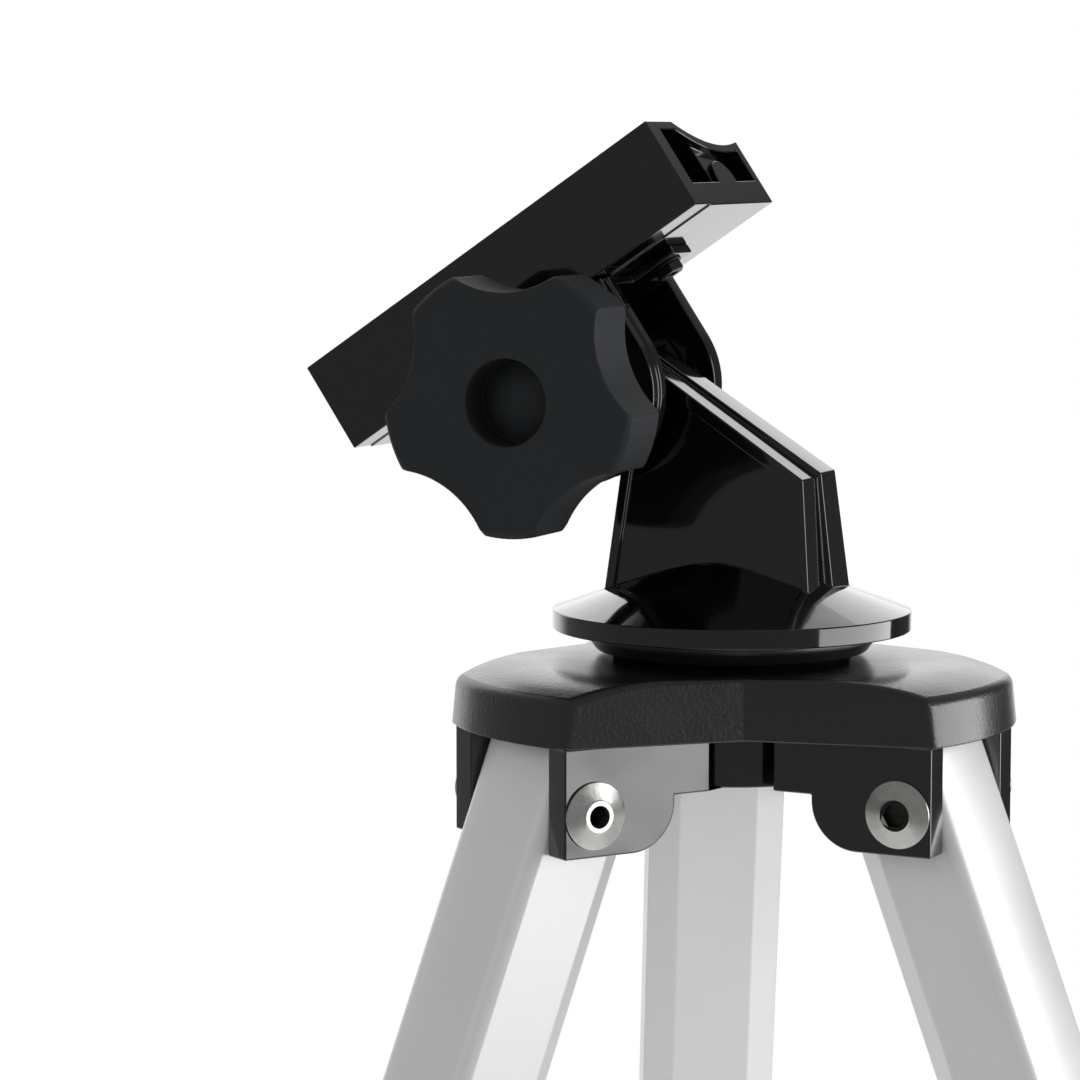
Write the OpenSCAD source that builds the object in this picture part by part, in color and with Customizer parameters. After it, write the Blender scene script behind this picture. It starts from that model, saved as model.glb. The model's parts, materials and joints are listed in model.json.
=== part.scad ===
// Alt azimuth telescope mount on a folding tripod.
// Frame: origin on the azimuth axis at floor level, +Z up, +X along the arm, altitude axis along Y.
// Heights of the head are counted from the lower edge of the tripod head's skirt.

/* [Tripod head] */
// Width of each of the three lobes at its tip
lobe_w = 44.8; // [42:0.2:50]
// Distance of the hollow between two lobes from the azimuth axis
waist_r = 36; // [30:0.5:40]
// Length of a lobe from its leg's hinge axis to its round end
lobe_past_hinge = 12.2; // [10.8:0.1:18]
// Height of the flat top over the skirt's lower edge
lobe_top = 13.2; // [11:0.1:15]
// How far a lobe's end wall leans in over the height of its flat top
lobe_draft = 1.4; // [0:0.1:2]
// Width of the band round the lobes' ends where the top rounds down
shoulder_w = 17.5; // [12:0.5:22]
// Radius of the rounding of the top
shoulder_r = 40; // [34:1:60]
// Thickness of the skirt's end wall
skirt_wall = 2.2; // [1.8:0.1:2.3]
// Height of the leg slot's ceiling over the skirt's lower edge
slot_top = 6; // [4:0.1:6.5]
// How far the cheeks stand back from the skirt's sides
cheek_inset = 0.6; // [0.2:0.1:1.5]
// Length of a cheek past its leg's hinge axis
cheek_past_hinge = 7.1; // [6.6:0.1:7.3]
// Drop of the cheeks below the skirt
cheek_drop = 22.5; // [21.5:0.1:27]
// Radius of the cheeks' lower inner corner
cheek_round = 10; // [6:0.5:10.5]
// Distance from the azimuth axis to the cheeks' inner edge
web_reach = 28.6; // [27:0.1:31]
// Distance from the azimuth axis to the webs' inner ends
web_start = 20; // [17:0.1:22]
// Drop of the webs and the core below the skirt
web_drop = 11.4; // [9:0.1:12]
// Radius of the round core
core_r = 25.2; // [23:0.1:25.6]
// Turn of the tripod about the azimuth axis, from the arm's direction
tripod_turn = -4.3; // [-30:0.1:30]

/* [Turntable seat] */
// Radius of the seat that carries the turntable
seat_r = 30.4; // [28:0.1:33]
// Height of the seat over the skirt's lower edge
seat_top = 18.6; // [16:0.1:21]
// Radius of the neck that carries the seat
seat_neck_r = 25; // [20:0.5:25.4]
// Height of the seat's lower edge
seat_low = 15.6; // [14:0.1:16.5]
// Chamfer along that edge
seat_chamfer = 1.8; // [0.5:0.1:2]
// Outer radius of the glide washer
glide_r = 27; // [22:0.5:27.5]
// Inner radius of the glide washer
glide_hole_r = 9; // [7:0.5:14]
// Thickness of the glide washer
glide_t = 1; // [0.8:0.1:2]
// Gap between the seat and the turntable
seat_gap = 0.3; // [0.2:0.05:0.5]

/* [Turntable and arm] */
// Radius of the turntable disc
disc_r = 38; // [34:0.5:44]
// Height of the disc's rim
disc_rim = 4; // [3:0.1:6]
// Slope of the disc's conical top in degrees
disc_slope = 19.4; // [14:0.1:24]
// Radius of the flat at the top of the cone
disc_flat_r = 6; // [3:0.5:10]
// Distance of the altitude axis behind the azimuth axis
pivot_back = 29.2; // [24:0.1:34]
// Height of the altitude axis over the skirt's lower edge
pivot_up = 68.8; // [66:0.1:80]
// Radius of the arm's barrel round the altitude axis
barrel_r = 11.8; // [10:0.1:12.4]
// Radius of the barrel's side bosses
boss_r = 13.2; // [12:0.1:13.4]
// Distance of the arm's front top corner from the azimuth axis
arm_front = 19; // [14:0.1:24]
// Height of the arm's front top corner over the skirt's lower edge
arm_front_up = 51.4; // [46:0.1:54]
// Distance of the arm's front foot from the azimuth axis
arm_foot_front = 21.4; // [18:0.1:26]
// Distance of the arm's back foot behind the azimuth axis
arm_foot_back = 25.6; // [22:0.1:28]
// Forward lean of the arm's back edge in degrees
arm_back_lean = 7.1; // [3:0.1:9]
// Thickness of the arm at its foot
arm_foot_t = 21.4; // [19:0.1:24]
// Thickness of the arm at the altitude axis
arm_top_t = 15.2; // [13:0.1:17]
// Width of the rim over the arm's side panels, along the slope
arm_rim_w = 2.6; // [1.5:0.1:4]
// Width of the rim in front of the arm's side panels
arm_rim_front = 1.4; // [1:0.1:3]
// Width of the rim behind the arm's side panels
arm_rim_back = 2.2; // [1:0.1:3]
// Depth of the arm's side panels
arm_panel_d = 1.2; // [0.6:0.1:2]
// Step of the far half over the near half along the arm's top
arm_step = 0.8; // [0.4:0.1:1.2]
// Extra step of the far half at the arm's front foot
arm_step_foot = 1; // [0.2:0.1:1.6]
// Radius of the fillet under the barrel
arm_neck_fillet = 9; // [5:0.5:14]
// Height of the fillet's top below the pivot
arm_neck_drop = 8.3; // [7:0.1:10]
// Width of the fillet at its top
arm_neck_w = 6.3; // [5:0.1:7]
// Width of the fillet at its foot
arm_neck_lean = 1.4; // [1:0.1:2]

/* [Azimuth bolt] */
// Radius of the azimuth bolt
az_bolt_r = 5; // [4:0.5:6]
// Width across the flats of the azimuth bolt's head and nut
az_hex = 17; // [15:0.5:18]
// Height of the azimuth bolt's head
az_head_h = 6.4; // [4:0.1:7]
// Height of the azimuth nut
az_nut_h = 8; // [6:0.1:9]
// Depth of the nut's recess in the core
az_recess = 12.8; // [12.4:0.1:15]
// Gap round the azimuth washer in its recess
az_recess_gap = 1; // [0.5:0.1:2]
// Thickness of the azimuth washer
az_washer_t = 1.6; // [1:0.1:2.5]
// Radius of the azimuth washer
az_washer_r = 11; // [10.5:0.1:12]
// Length of bolt that stands out of the nut
az_bolt_end = 2.6; // [1:0.1:4]
// Chamfer at the end of the azimuth bolt
az_bolt_chamfer = 1.2; // [0.5:0.1:2]

/* [Saddle] */
// Tilt of the saddle over the horizontal in the rest pose, in degrees
saddle_tilt = 33.8; // [0:0.1:60]
// Length of the saddle in front of the altitude axis
saddle_front = 46.5; // [42:0.1:60]
// Length of the saddle behind the altitude axis
saddle_back = 48.1; // [42:0.1:60]
// Width of the saddle
saddle_w = 43.6; // [42:0.1:50]
// Height of the saddle's side on the knob side
saddle_h = 20.7; // [18:0.1:24]
// Distance from the altitude axis to the saddle's underside
saddle_up = 16.2; // [15.9:0.1:18]
// Radius of the telescope tube that the saddle carries
tube_r = 42; // [38:1:60]
// Distance of the tube's axis from the saddle's middle, away from the knob
tube_offset = 13.5; // [8:0.1:15]
// Height of the cradle's lowest line over the saddle's underside
cradle_h = 14.8; // [13:0.1:15.5]
// Thickness of the saddle's floor
saddle_floor = 5.6; // [4:0.1:6]
// Width of the step along the near edge of the saddle's underside
saddle_strip_w = 7.8; // [5:0.2:8]
// Height of that step
saddle_step = 0.3; // [0.1:0.1:0.6]
// Thickness of the saddle's skin over the pockets
saddle_skin = 2; // [1.6:0.1:3]
// Thickness of the saddle's side wall on the knob side
saddle_wall_near = 5.4; // [3:0.1:7]
// Thickness of the saddle's other side wall
saddle_wall_far = 2.6; // [2:0.1:3]
// Thickness of the saddle's long web
saddle_web = 9.8; // [9:0.1:11]
// Distance of the long web from the saddle's middle, away from the knob
saddle_web_offset = 3.6; // [2:0.1:4]
// Half length of the saddle's solid middle
saddle_core = 12; // [8:0.5:16]
// Height of the ribs that end the long web
saddle_rib_h = 5.2; // [5:0.1:6]
// How far the long web stands back over those ribs
saddle_web_back = 1.6; // [0.8:0.1:3]
// Radius of the threaded holes for the tube's screws
tube_screw_r = 3.2; // [2.2:0.1:3.4]
// Depth of the threaded holes for the tube's screws
tube_screw_depth = 11; // [8:0.5:12]
// Wall of the bosses round the bores and the bolt holes
saddle_boss_wall = 2.1; // [1.9:0.1:2.3]
// Distance of the tube's screws from the altitude axis
tube_screw_x = 36; // [34:0.5:38]

/* [Yoke] */
// Distance between the yoke's ears
ear_gap = 27; // [25:0.1:30]
// Thickness of each ear
ear_t = 5.9; // [5:0.1:7]
// Radius of each ear
ear_r = 19.7; // [18:0.1:22]
// Step along the middle of each ear's edge
ear_step = 0.5; // [0.2:0.1:0.8]
// Thickness of the yoke's base
yoke_base_t = 2; // [1.8:0.1:2.4]
// Half length of the yoke's base
yoke_base_x = 31; // [30:0.1:33]
// Width of the yoke's flanges
yoke_flange_w = 10; // [8:0.2:26]
// Distance of the yoke's bolts from the altitude axis
yoke_bolt_x = 26.2; // [24.9:0.1:27]
// Radius of the yoke's bolts
yoke_bolt_r = 1.5; // [1.5:0.5:2.5]
// Length of the yoke's bolts under the head
yoke_bolt_len = 12; // [10:0.5:14]
// Width across the flats of the yoke bolts' heads
yoke_bolt_hex = 5.5; // [5:0.5:7]
// Height of the yoke bolts' heads
yoke_bolt_head = 2; // [1.8:0.1:3]
// Width across flats of the yoke bolts' sockets
yoke_socket_hex = 2.5; // [2:0.1:3]
// Depth of those sockets
yoke_socket_depth = 1.1; // [0.8:0.1:1.4]
// Radius of the yoke bolts' washers
yoke_washer_r = 3.5; // [3.3:0.1:4.2]
// Thickness of the yoke bolts' washers
yoke_washer_t = 0.5; // [0.4:0.1:1]

/* [Altitude bolt] */
// Radius of the altitude bolt
alt_bolt_r = 5; // [4:0.5:5.5]
// Radius of the altitude bolt's domed head
alt_head_r = 10.5; // [9:0.1:12]
// Height of the altitude bolt's domed head
alt_head_h = 5; // [4:0.1:6]
// Width of the square neck under the head
alt_neck_w = 10.6; // [10.4:0.1:11.6]
// Length of the square neck
alt_neck_len = 3.4; // [2.5:0.1:4.5]
// Thickness of the friction washers between arm and ears
friction_t = 0.8; // [0.5:0.1:1.5]
// How far the friction washers stand back from the bosses' edges
friction_inset = 0.4; // [0:0.1:1]
// Radius of the washer under the knob
knob_washer_r = 10.6; // [9:0.1:12]
// Thickness of the washer under the knob
knob_washer_t = 1.6; // [1:0.1:2.5]

/* [Altitude knob] */
// Number of lobes on the knob
knob_lobes = 5; // [4:1:7]
// Radius of the knob over its lobes
knob_r = 27.8; // [24:0.1:32]
// Thickness of the knob's head
knob_h = 15.8; // [13:0.1:20]
// Radius of the scallops between the lobes
scallop_r = 21.4; // [16:0.1:30]
// Depth of each scallop, from the lobes' circle
scallop_depth = 5.6; // [3:0.1:7]
// Radius of the knob's rounded edges
knob_edge_r = 1.2; // [0.5:0.1:2]
// Length of the boss behind the knob's head
knob_boss_len = 14.5; // [8:0.1:18]
// Radius of the knob's boss
knob_boss_r = 11; // [10:0.1:13]
// Radius of the recess in the knob's face
knob_recess_r = 8.9; // [7:0.1:10]
// Depth of the recess in the knob's face
knob_recess_d = 8.6; // [5:0.1:9]
// Height of the dome on the recess's bottom
knob_dome_h = 2.2; // [1:0.1:3]
// Radius of the threaded insert
insert_r = 8; // [7:0.1:8.6]
// Length of the threaded insert
insert_len = 17; // [12:0.5:17.5]
// Turn of the knob's first lobe from straight down, in degrees
knob_turn = 1.4; // [0:0.1:72]

/* [Legs] */
// Number of legs
legs = 3; // [3:1:3]
// Angle of each leg from the vertical when it stands, in degrees
splay = 20.7; // [18:0.1:24]
// Distance of the leg hinges from the azimuth axis
hinge_r = 47.9; // [47.2:0.1:48.5]
// Drop of the leg hinges below the skirt
hinge_drop = 13.9; // [13.4:0.1:14.6]
// Width of the upper leg tube
leg_w = 30; // [28:0.1:30.4]
// Distance from the hinge to the tube's outer face
leg_front = 7.8; // [7:0.1:8]
// Distance from the hinge to the tube's inner face
leg_back = 16.8; // [16:0.1:17]
// Width of the chamfers on the tube's inner side
leg_chamfer = 6.4; // [5:0.1:7]
// Radius of the tube's outer corners
leg_corner = 3.6; // [2.6:0.1:5]
// Crown of the tube's outer face
leg_crown = 0.7; // [0.2:0.1:0.9]
// Wall of the leg tubes
leg_wall = 1.4; // [1:0.1:2]
// Length of the upper leg tube
leg_len = 600; // [400:5:700]
// Length of tube above the hinge
leg_over = 14; // [12.6:0.1:14]
// Gap between a leg tube and its cheeks
leg_side_gap = 0.3; // [0.2:0.05:0.6]
// Radial gap between an upper tube and its hinge sleeve
leg_hole_gap = 0.3; // [0.1:0.1:0.6]
// Gap between a standing leg's top and its stop
stop_gap = 0.3; // [0.2:0.05:0.5]
// Length of the plug in the tube's top
plug_len = 36; // [30:1:60]
// Clearance between the leg's sliding sections
leg_slide_gap = 1.1; // [0.8:0.1:1.5]
// Length of the inner leg tube
inner_len = 570; // [380:5:640]
// Length of the glide at the inner tube's top
leg_glide_len = 26; // [16:1:40]
// Height of the glide's collar over the inner tube
leg_glide_collar = 6; // [4:0.5:10]
// Clearance of the glide in the upper tube
leg_glide_gap = 0.3; // [0.2:0.05:0.5]

/* [Leg hinge] */
// Radius of the hinge sleeves
sleeve_r = 4; // [3.6:0.1:4.6]
// Radius of the hole in a sleeve
sleeve_bore_r = 2.3; // [1.8:0.1:2.6]
// Length of the screw inside the sleeve
hinge_screw_len = 24; // [14:0.5:34]
// Radius of the flanged heads
flange_r = 6.95; // [6:0.05:7.2]
// Thickness of the flanged heads at their rim
flange_rim = 0.6; // [0.4:0.1:1]
// Radius of the flat crest of the fasteners' heads
flange_crest_r = 3.5; // [3.2:0.1:4.5]
// Chamfer round that crest
flange_break = 0.2; // [0.1:0.1:0.4]
// Height of the flanged heads
flange_h = 1.9; // [1.4:0.1:2.6]
// Width across the flats of the screws' hexagon socket
socket_hex = 4.4; // [3:0.1:5]
// Depth of the screws' hexagon socket
socket_depth = 1.6; // [1.2:0.1:1.8]

/* [Leg lock] */
// Wall of the lock collar
collar_wall = 3; // [2.4:0.1:4]
// Length of the collar on the upper tube
collar_grip = 30; // [20:1:50]
// Length of the collar below the upper tube
collar_nose = 24; // [22:1:30]
// Radius of the collar's screw boss
collar_boss_r = 9; // [7:0.1:10]
// Length of the collar's screw boss
collar_boss_len = 7; // [5:0.1:10]
// Radius of the lock screw
lock_screw_r = 3; // [2.5:0.5:4]
// Radius of the lock knob over its lobes
lock_knob_r = 13; // [10:0.1:16]
// Thickness of the lock knob
lock_knob_h = 10; // [8:0.1:14]
// Depth of each scallop in the lock knob
lock_scallop_depth = 2.4; // [1.5:0.1:3]
// Radius of the scallops in the lock knob
lock_scallop_r = 9; // [6:0.1:12]
// Gap between the lock knob and its boss
lock_knob_gap = 1.5; // [0.5:0.1:3]
// Depth of the screw's hole in the lock knob
lock_knob_bore = 7; // [5:0.5:8]

/* [Feet] */
// Wall of the rubber foot
foot_wall = 3.2; // [2.4:0.1:4.5]
// Length of tube inside the foot
foot_grip = 24; // [16:1:34]
// Length of inner tube between the collar and the foot when the leg is pushed in
foot_gap = 36; // [4:1:60]
// Length of the foot below the tube, on the tube's centre line
foot_sole = 13; // [11:0.5:20]
// Radius of the round pad under the foot
foot_pad_r = 17.5; // [16:0.1:20]
// Height of the round pad
foot_pad_h = 5; // [4:0.1:8]

/* [Clearances] */
// Radial clearance of a turning fit
run_gap = 0.08; // [0.03:0.01:0.1]
// Radial clearance round a bolt that doesn't turn
bolt_gap = 0.1; // [0.05:0.01:0.3]

/* [Hidden] */
$fn = 72;
eps = 0.01;
tip_gap = 1;
turn_step = 360 / legs;

// Derived sizes of the legs
leg_half = leg_w / 2;
leg_mid = (leg_front - leg_back) / 2;
inner_half = leg_half - leg_wall - leg_slide_gap;
inner_front = leg_front - leg_wall - leg_slide_gap;
inner_back = leg_back - leg_wall - leg_slide_gap;
chamfer_shrink = 2 - sqrt(2);
tube_end = leg_over - leg_len;
collar_end = tube_end - collar_nose;
foot_top = collar_end - foot_gap;
inner_end = foot_top - foot_grip;
inner_top = inner_end + inner_len;
sole_end = inner_end - foot_sole;

// Derived sizes of the tripod head
skirt_z = hinge_drop - sole_end * cos(splay) - leg_mid * sin(splay);
lobe_half = lobe_w / 2;
lobe_reach = hinge_r + lobe_past_hinge;
shoulder_start = lobe_reach - shoulder_w;
cheek_reach = hinge_r + cheek_past_hinge;
slot_half = leg_half + leg_side_gap;
cheek_out = lobe_half - cheek_inset;
cheek_t = cheek_out - slot_half;
slot_end = lobe_reach - skirt_wall;
az_nut_top = az_recess - web_drop - az_washer_t;
az_bolt_tip = az_nut_top - az_nut_h - az_bolt_end;
glide_bed = seat_top + seat_gap - glide_t;

// Derived sizes of the turntable and arm
disc_z = seat_top + seat_gap;
rim_z = disc_z + disc_rim;
cone_z = rim_z + (disc_r - disc_flat_r) * tan(disc_slope);
pivot = [-pivot_back, pivot_up];
arm_tip = [arm_front, arm_front_up];
arm_low = disc_z + disc_rim / 2;
arm_wedge = (arm_foot_t - arm_top_t) / 2 / (pivot_up - rim_z);
boss_face = ear_gap / 2 - friction_t;
ear_face = ear_gap / 2 + ear_t;

// Derived sizes of the saddle, yoke and knob
saddle_half = saddle_w / 2;
cradle_z = saddle_up + cradle_h + tube_r;
yoke_low = saddle_up - yoke_base_t;
yoke_head_z = yoke_low - yoke_washer_t;
knob_seat = ear_face + knob_washer_t;
knob_back = knob_seat + knob_boss_len;
knob_face = knob_back + knob_h;
insert_end = knob_seat + insert_len;

// Points of an arc from angle a0 to a1
function arc_points(cx, cy, r, a0, a1, n) =
    [for (i = [0 : n]) [cx + r * cos(a0 + (a1 - a0) * i / n), cy + r * sin(a0 + (a1 - a0) * i / n)]];

// Direction of the tangent from point p to a circle of radius r about c, on the circle's upper side
function tangent_angle(p, c, r) = atan2(c[1] - p[1], c[0] - p[0]) - asin(r / norm(c - p));

// Point where that tangent touches the circle
function tangent_point(p, c, r) =
    let (a = tangent_angle(p, c, r), d = sqrt(pow(norm(c - p), 2) - r * r))
    [p[0] + d * cos(a), p[1] + d * sin(a)];

// Point where the line through p at angle a meets the line through q at angle b
function line_cross(p, a, q, b) =
    p + ((q[0] - p[0]) * sin(b) - (q[1] - p[1]) * cos(b)) / sin(b - a) * [cos(a), sin(a)];

// Places a child at the skirt's lower edge
module at_skirt() {
    translate([0, 0, skirt_z]) children();
}

// Places a child at the altitude axis, with its Z along that axis towards the knob
module at_pivot() {
    translate([-pivot_back, 0, skirt_z + pivot_up]) rotate([90, 0, 0]) children();
}

// Places a child at the altitude axis, with its X along the saddle
module on_saddle() {
    translate([-pivot_back, 0, skirt_z + pivot_up]) rotate([0, -saddle_tilt, 0]) children();
}

// Repeats a child round the azimuth axis, in the direction of each leg
module each_leg() {
    for (i = [0 : legs - 1]) rotate([0, 0, tripod_turn + i * turn_step]) children();
}

// Places a child at one leg's hinge, with its -Z down the leg and +X outwards
module at_leg(i) {
    at_skirt() rotate([0, 0, tripod_turn + i * turn_step]) translate([hinge_r, 0, -hinge_drop])
        rotate([0, -splay, 0]) children();
}

// A hexagonal prism of a given width across its flats
module hex_prism(width, height) {
    cylinder(h = height, r = width / sqrt(3), $fn = 6);
}

// A flat washer
module washer(outer_r, inner_r, thickness) {
    difference() {
        cylinder(h = thickness, r = outer_r);
        translate([0, 0, -1]) cylinder(h = thickness + 2, r = inner_r);
    }
}

// Outline of a leg section, with a crowned outer face and chamfered inner corners
module leg_outline(half, front, back, chamfer, corner, crown) {
    flat = half - corner;
    polygon(concat(
        [[-back, chamfer - half], [chamfer - back, -half]],
        arc_points(front - corner, -flat, corner, -90, 0, 5),
        [for (i = [1 : 7]) let (y = flat * (i / 4 - 1)) [front + crown * (1 - pow(y / flat, 2)), y]],
        arc_points(front - corner, flat, corner, 0, 90, 5),
        [[chamfer - back, half], [-back, half - chamfer]]
    ));
}

// Outline of the upper tube, made larger by grow
module outer_outline(grow = 0) {
    leg_outline(leg_half + grow, leg_front + grow, leg_back + grow,
                leg_chamfer + grow * chamfer_shrink, leg_corner + grow, leg_crown);
}

// Outline of the inner tube, made larger by grow
module inner_outline(grow = 0) {
    full = grow - leg_wall - leg_slide_gap;
    leg_outline(inner_half + grow, inner_front + grow, inner_back + grow,
                leg_chamfer + full * chamfer_shrink, max(0.6, leg_corner + full), leg_crown);
}

// Plan of the tripod head: three lobes that widen from their tips to the hollows between them
module lobes_plan() {
    hollow = [waist_r * cos(turn_step / 2), waist_r * sin(turn_step / 2)];
    tip = sqrt(pow(lobe_reach, 2) - pow(lobe_half, 2));
    far = lobe_reach + 1;
    far_half = lobe_half - (hollow[1] - lobe_half) * (far - tip) / (tip - hollow[0]);
    polygon([for (i = [0 : legs - 1], p = [[far, -far_half], [far, far_half], hollow])
        let (a = tripod_turn + i * turn_step) [p[0] * cos(a) - p[1] * sin(a), p[0] * sin(a) + p[1] * cos(a)]]);
}

// The head's crown: flat in the middle, rounding down towards the lobes' ends
module crown() {
    steps = 10;
    rim = lobe_reach + 1;
    drop = shoulder_r - sqrt(pow(shoulder_r, 2) - pow(rim - shoulder_start, 2));
    rotate_extrude($fn = 180) polygon(concat(
        [[0, 0], [rim, 0], [rim, lobe_top - drop]],
        [for (i = [steps - 1 : -1 : 0]) let (r = shoulder_start + (rim - shoulder_start) * i / steps)
            [r, lobe_top - shoulder_r + sqrt(pow(shoulder_r, 2) - pow(r - shoulder_start, 2))]],
        [[0, lobe_top]]
    ));
}

// Side view of a cheek with its web
module cheek_outline() {
    corner_x = web_reach + cheek_round;
    corner_z = cheek_round - cheek_drop;
    polygon([[web_start, eps], [cheek_reach, eps], [cheek_reach, -cheek_drop], [corner_x, -cheek_drop],
             [corner_x, corner_z], [web_reach, corner_z], [web_reach, -web_drop], [web_start, -web_drop]]);
    translate([corner_x, corner_z]) circle(r = cheek_round);
}

// Plan of the slot that one leg folds in
module slot_plan() {
    intersection() {
        circle(r = slot_end, $fn = 180);
        translate([core_r, -slot_half]) square([lobe_reach, 2 * slot_half]);
    }
}

// Stop on the slot's ceiling that meets the leg's top when the leg stands
module leg_stop() {
    stop_half = leg_half - leg_corner;
    start = hinge_r - leg_over * tan(splay / 2);
    difference() {
        translate([start, -stop_half, -hinge_drop])
            cube([slot_end - start, 2 * stop_half, hinge_drop + slot_top + 1]);
        translate([hinge_r, 0, -hinge_drop]) rotate([0, -splay, 0])
            translate([-2 * leg_back, -leg_w, -2 * leg_over])
                cube([4 * leg_back, 2 * leg_w, 3 * leg_over + stop_gap]);
    }
}

module tripod_head() {
    color([0.13, 0.14, 0.14]) at_skirt() {
        difference() {
            union() {
                intersection() {
                    linear_extrude(height = lobe_top + 1) lobes_plan();
                    crown();
                    cylinder(h = 2 * lobe_top, r1 = lobe_reach, r2 = lobe_reach - 2 * lobe_draft, $fn = 180);
                }
                each_leg() for (side = [-1, 1])
                    translate([0, side * (slot_half + cheek_t / 2) + cheek_t / 2, 0])
                        rotate([90, 0, 0]) linear_extrude(height = cheek_t) cheek_outline();
                translate([0, 0, -web_drop]) cylinder(h = web_drop + eps, r = core_r);
                rotate_extrude() polygon([
                    [0, 1], [seat_neck_r, 1], [seat_neck_r, seat_low], [seat_r - seat_chamfer, seat_low],
                    [seat_r, seat_low + seat_chamfer], [seat_r, seat_top], [0, seat_top]
                ]);
            }
            each_leg() {
                translate([0, 0, -1]) linear_extrude(height = slot_top + 1) slot_plan();
                translate([hinge_r, lobe_w, -hinge_drop]) rotate([90, 0, 0])
                    cylinder(h = 2 * lobe_w, r = sleeve_r + bolt_gap);
            }
            translate([0, 0, glide_bed]) cylinder(h = glide_t + 1, r = glide_r + seat_gap);
            translate([0, 0, -web_drop - 1]) cylinder(h = web_drop + seat_top + 2, r = az_bolt_r + run_gap);
            translate([0, 0, -web_drop - 1]) cylinder(h = az_recess + 1, r = az_washer_r + az_recess_gap);
        }
        each_leg() leg_stop();
    }
}

// Flanged head of a hinge fastener, seated at z = 0
module flange_head() {
    rotate_extrude() polygon([[0, 0], [flange_r, 0], [flange_r, flange_rim],
                              [flange_crest_r, flange_h - flange_break],
                              [flange_crest_r - flange_break, flange_h], [0, flange_h]]);
}

// Places a child at each hinge, at one side of its cheeks, with Z pointing out of the cheek
module at_hinge_side(side) {
    at_skirt() each_leg() translate([hinge_r, side * cheek_out, -hinge_drop])
        rotate([-side * 90, 0, 0]) children();
}

module leg_hinge_sleeves() {
    color([0.8, 0.8, 0.8]) at_hinge_side(1) difference() {
        union() {
            flange_head();
            translate([0, 0, -2 * cheek_out + 1]) cylinder(h = 2 * cheek_out - 1 + eps, r = sleeve_r);
        }
        translate([0, 0, -2 * cheek_out]) cylinder(h = 2 * cheek_out + flange_h + 1, r = sleeve_bore_r);
    }
}

module leg_hinge_screws() {
    color([0.82, 0.81, 0.79]) at_hinge_side(-1) difference() {
        union() {
            flange_head();
            translate([0, 0, -hinge_screw_len])
                cylinder(h = hinge_screw_len + eps, r = sleeve_bore_r - bolt_gap);
        }
        translate([0, 0, flange_h - socket_depth]) hex_prism(socket_hex, socket_depth + 1);
    }
}

module turntable_glide() {
    color([0.88, 0.87, 0.83]) at_skirt() translate([0, 0, glide_bed]) washer(glide_r, glide_hole_r, glide_t);
}

// Side view of the arm, with its edges moved out by step along the top and by foot at the front foot
module arm_outline(step, foot) {
    barrel = barrel_r + step;
    tip = arm_tip + [step, step];
    touch = tangent_point(tip, pivot, barrel);
    neck_z = pivot_up - arm_neck_drop;
    neck_x = (neck_z - rim_z) * tan(arm_back_lean) - arm_foot_back;
    polygon([[-arm_foot_back, arm_low], [neck_x, neck_z], pivot, touch, tip,
             [arm_foot_front + foot, rim_z], [arm_foot_front + foot, arm_low]]);
    translate(pivot) circle(r = barrel);
    difference() {
        polygon([[neck_x, neck_z], [neck_x - arm_neck_w, neck_z],
                 [neck_x - arm_neck_lean, neck_z - arm_neck_fillet], [neck_x, neck_z - arm_neck_fillet]]);
        translate([neck_x - arm_neck_lean - arm_neck_fillet, neck_z - arm_neck_fillet])
            circle(r = arm_neck_fillet);
    }
}

// Side view of the panel sunk into the arm's side
module panel_outline() {
    top_a = tangent_angle(arm_tip, pivot, barrel_r);
    front_a = atan2(rim_z - arm_front_up, arm_foot_front - arm_front);
    back_a = 90 - arm_back_lean;
    front_p = arm_tip + arm_rim_front * [cos(front_a - 90), sin(front_a - 90)];
    top_p = arm_tip + arm_rim_w * [cos(top_a + 90), sin(top_a + 90)];
    back_p = [-arm_foot_back, rim_z] + arm_rim_back * [cos(back_a - 90), sin(back_a - 90)];
    foot_p = [0, arm_low];
    polygon([line_cross(back_p, back_a, foot_p, 0), line_cross(back_p, back_a, top_p, top_a),
             line_cross(front_p, front_a, top_p, top_a), line_cross(front_p, front_a, foot_p, 0)]);
}

// A slab that thins upwards, to trim the arm's sides; inset makes it thinner
module arm_slab(inset) {
    reach = 2 * disc_r + pivot_back;
    top = pivot_up + 2 * barrel_r;
    foot_half = arm_foot_t / 2 - inset + arm_wedge * (rim_z - arm_low);
    top_half = arm_foot_t / 2 - inset - arm_wedge * (top - rim_z);
    translate([-reach, 0, 0]) rotate([90, 0, 90]) linear_extrude(height = 2 * reach)
        polygon([[-foot_half, arm_low], [foot_half, arm_low], [top_half, top], [-top_half, top]]);
}

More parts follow.
